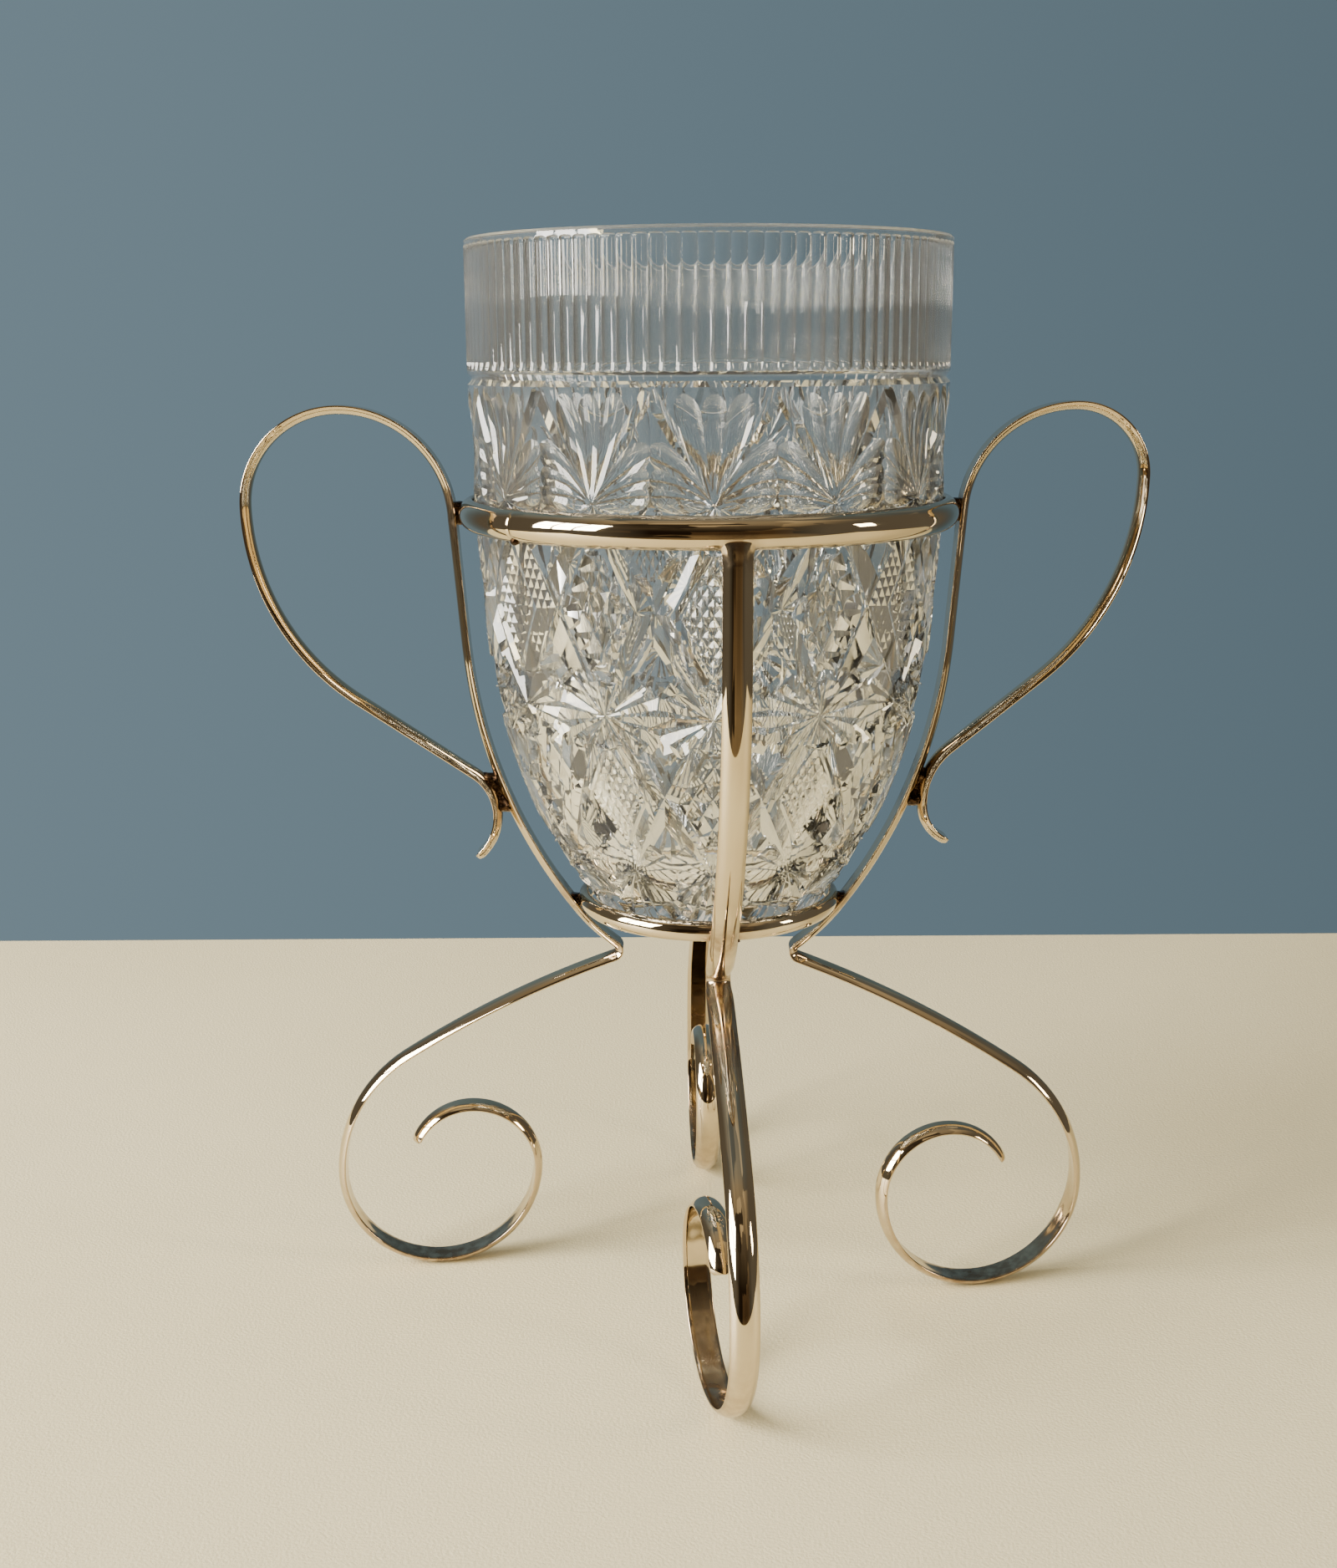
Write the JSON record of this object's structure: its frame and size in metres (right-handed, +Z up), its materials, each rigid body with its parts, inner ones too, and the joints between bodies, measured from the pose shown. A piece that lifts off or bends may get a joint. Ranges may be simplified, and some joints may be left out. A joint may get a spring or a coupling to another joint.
{
  "type": "champagne bucket stand",
  "caption": "Cut crystal champagne bucket standing in a silver-plated cradle of two rings on scroll-footed legs, with a loop handle on each side.",
  "frame": {"origin": "on the surface the four scroll feet stand on, under the common axis of the bucket and the two rings", "axes": "+Z up along the bucket's axis, +X towards the right handle, -Y towards the front leg"},
  "size_m": [0.3264, 0.2729, 0.3926],
  "materials": {
    "silver_plate": "polished, softly waved, lightly tarnished beside the joints",
    "cut_crystal": "polished, deeply cut",
    "brazing": "dark, tarnished"
  },
  "bodies": {
    "stand": {"upper_ring": "silver_plate", "lower_ring": "silver_plate", "left_leg_handle": "silver_plate", "right_leg_handle": "silver_plate", "front_leg": "silver_plate", "rear_leg": "silver_plate", "braze_upper_front": "brazing", "braze_upper_right": "brazing", "braze_upper_rear": "brazing", "braze_upper_left": "brazing", "braze_lower_front": "brazing", "braze_lower_right": "brazing", "braze_lower_rear": "brazing", "braze_lower_left": "brazing", "braze_handle_left": "brazing", "braze_handle_right": "brazing", "braze_ring_seam": "brazing"},
    "bucket": {"bucket": "cut_crystal"}
  },
  "joints": [
    {"name": "bucket_lift", "type": "slide", "parent": "stand", "child": "bucket", "axis": [0, 0, 1], "range_m": [0, 0.26]}
  ]
}
